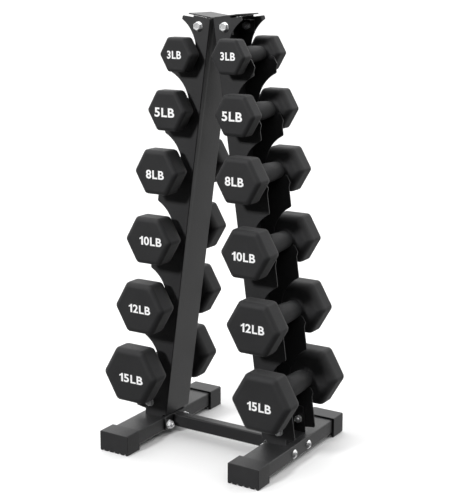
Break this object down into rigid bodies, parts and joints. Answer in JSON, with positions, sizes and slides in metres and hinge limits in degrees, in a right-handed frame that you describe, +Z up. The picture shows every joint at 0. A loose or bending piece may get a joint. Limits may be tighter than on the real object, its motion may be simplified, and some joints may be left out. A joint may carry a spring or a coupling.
{
  "type": "dumbbell rack",
  "caption": "A-frame rack of folded sheet-steel legs on two capped foot tubes, its notched saddle plates holding coated hexagonal dumbbells that lift off both sides.",
  "frame": {"origin": "centre of the footprint, on the floor", "axes": "+Z up, +Y to the back along the dumbbells, +X to the right across the two legs"},
  "size_m": [0.404, 0.324, 0.8066],
  "materials": {
    "powder_coat": "fine-textured satin black powder coat on steel",
    "cap_plastic": "moulded matt black plastic",
    "zinc": "bright zinc-plated steel",
    "neoprene": "dipped matt charcoal coat, soft to the touch",
    "iron": "as cast",
    "marking": "white printed weight marking"
  },
  "bodies": {
    "rack": {"left_foot_tube": "powder_coat", "right_foot_tube": "powder_coat", "cross_tube": "powder_coat", "left_end_plate": "powder_coat", "right_end_plate": "powder_coat", "left_front_foot_cap": "cap_plastic", "left_rear_foot_cap": "cap_plastic", "right_front_foot_cap": "cap_plastic", "right_rear_foot_cap": "cap_plastic", "left_leg_bracket": "powder_coat", "right_leg_bracket": "powder_coat", "left_leg_web": "powder_coat", "right_leg_web": "powder_coat", "left_front_saddle_plate": "powder_coat", "left_rear_saddle_plate": "powder_coat", "right_front_saddle_plate": "powder_coat", "right_rear_saddle_plate": "powder_coat", "front_joining_angle": "powder_coat", "rear_joining_angle": "powder_coat", "base_bolts": "zinc", "base_washers": "zinc", "base_nuts": "zinc", "leg_bolts": "zinc", "leg_washers": "zinc", "leg_nuts": "zinc", "top_bolts": "zinc", "top_washers": "zinc", "top_nuts": "zinc"},
    "left_3_dumbbell": {"left_3_coat": "neoprene", "left_3_core": "iron"},
    "left_5_dumbbell": {"left_5_coat": "neoprene", "left_5_core": "iron"},
    "left_8_dumbbell": {"left_8_coat": "neoprene", "left_8_core": "iron"},
    "left_10_dumbbell": {"left_10_coat": "neoprene", "left_10_core": "iron"},
    "left_12_dumbbell": {"left_12_coat": "neoprene", "left_12_core": "iron"},
    "left_15_dumbbell": {"left_15_coat": "neoprene", "left_15_core": "iron"},
    "right_3_dumbbell": {"right_3_coat": "neoprene", "right_3_core": "iron"},
    "right_5_dumbbell": {"right_5_coat": "neoprene", "right_5_core": "iron"},
    "right_8_dumbbell": {"right_8_coat": "neoprene", "right_8_core": "iron"},
    "right_10_dumbbell": {"right_10_coat": "neoprene", "right_10_core": "iron"},
    "right_12_dumbbell": {"right_12_coat": "neoprene", "right_12_core": "iron"},
    "right_15_dumbbell": {"right_15_coat": "neoprene", "right_15_core": "iron"}
  },
  "joints": [
    {"name": "left_3_lift_off", "type": "slide", "parent": "rack", "child": "left_3_dumbbell", "axis": [-0.7431, 0, 0.6691], "range_m": [0, 0.1]},
    {"name": "left_5_lift_off", "type": "slide", "parent": "rack", "child": "left_5_dumbbell", "axis": [-0.7431, 0, 0.6691], "range_m": [0, 0.1]},
    {"name": "left_8_lift_off", "type": "slide", "parent": "rack", "child": "left_8_dumbbell", "axis": [-0.7431, 0, 0.6691], "range_m": [0, 0.1]},
    {"name": "left_10_lift_off", "type": "slide", "parent": "rack", "child": "left_10_dumbbell", "axis": [-0.7431, 0, 0.6691], "range_m": [0, 0.1]},
    {"name": "left_12_lift_off", "type": "slide", "parent": "rack", "child": "left_12_dumbbell", "axis": [-0.7431, 0, 0.6691], "range_m": [0, 0.1]},
    {"name": "left_15_lift_off", "type": "slide", "parent": "rack", "child": "left_15_dumbbell", "axis": [-0.7431, 0, 0.6691], "range_m": [0, 0.1]},
    {"name": "right_3_lift_off", "type": "slide", "parent": "rack", "child": "right_3_dumbbell", "axis": [0.7431, 0, 0.6691], "range_m": [0, 0.1]},
    {"name": "right_5_lift_off", "type": "slide", "parent": "rack", "child": "right_5_dumbbell", "axis": [0.7431, 0, 0.6691], "range_m": [0, 0.1]},
    {"name": "right_8_lift_off", "type": "slide", "parent": "rack", "child": "right_8_dumbbell", "axis": [0.7431, 0, 0.6691], "range_m": [0, 0.1]},
    {"name": "right_10_lift_off", "type": "slide", "parent": "rack", "child": "right_10_dumbbell", "axis": [0.7431, 0, 0.6691], "range_m": [0, 0.1]},
    {"name": "right_12_lift_off", "type": "slide", "parent": "rack", "child": "right_12_dumbbell", "axis": [0.7431, 0, 0.6691], "range_m": [0, 0.1]},
    {"name": "right_15_lift_off", "type": "slide", "parent": "rack", "child": "right_15_dumbbell", "axis": [0.7431, 0, 0.6691], "range_m": [0, 0.1]}
  ]
}
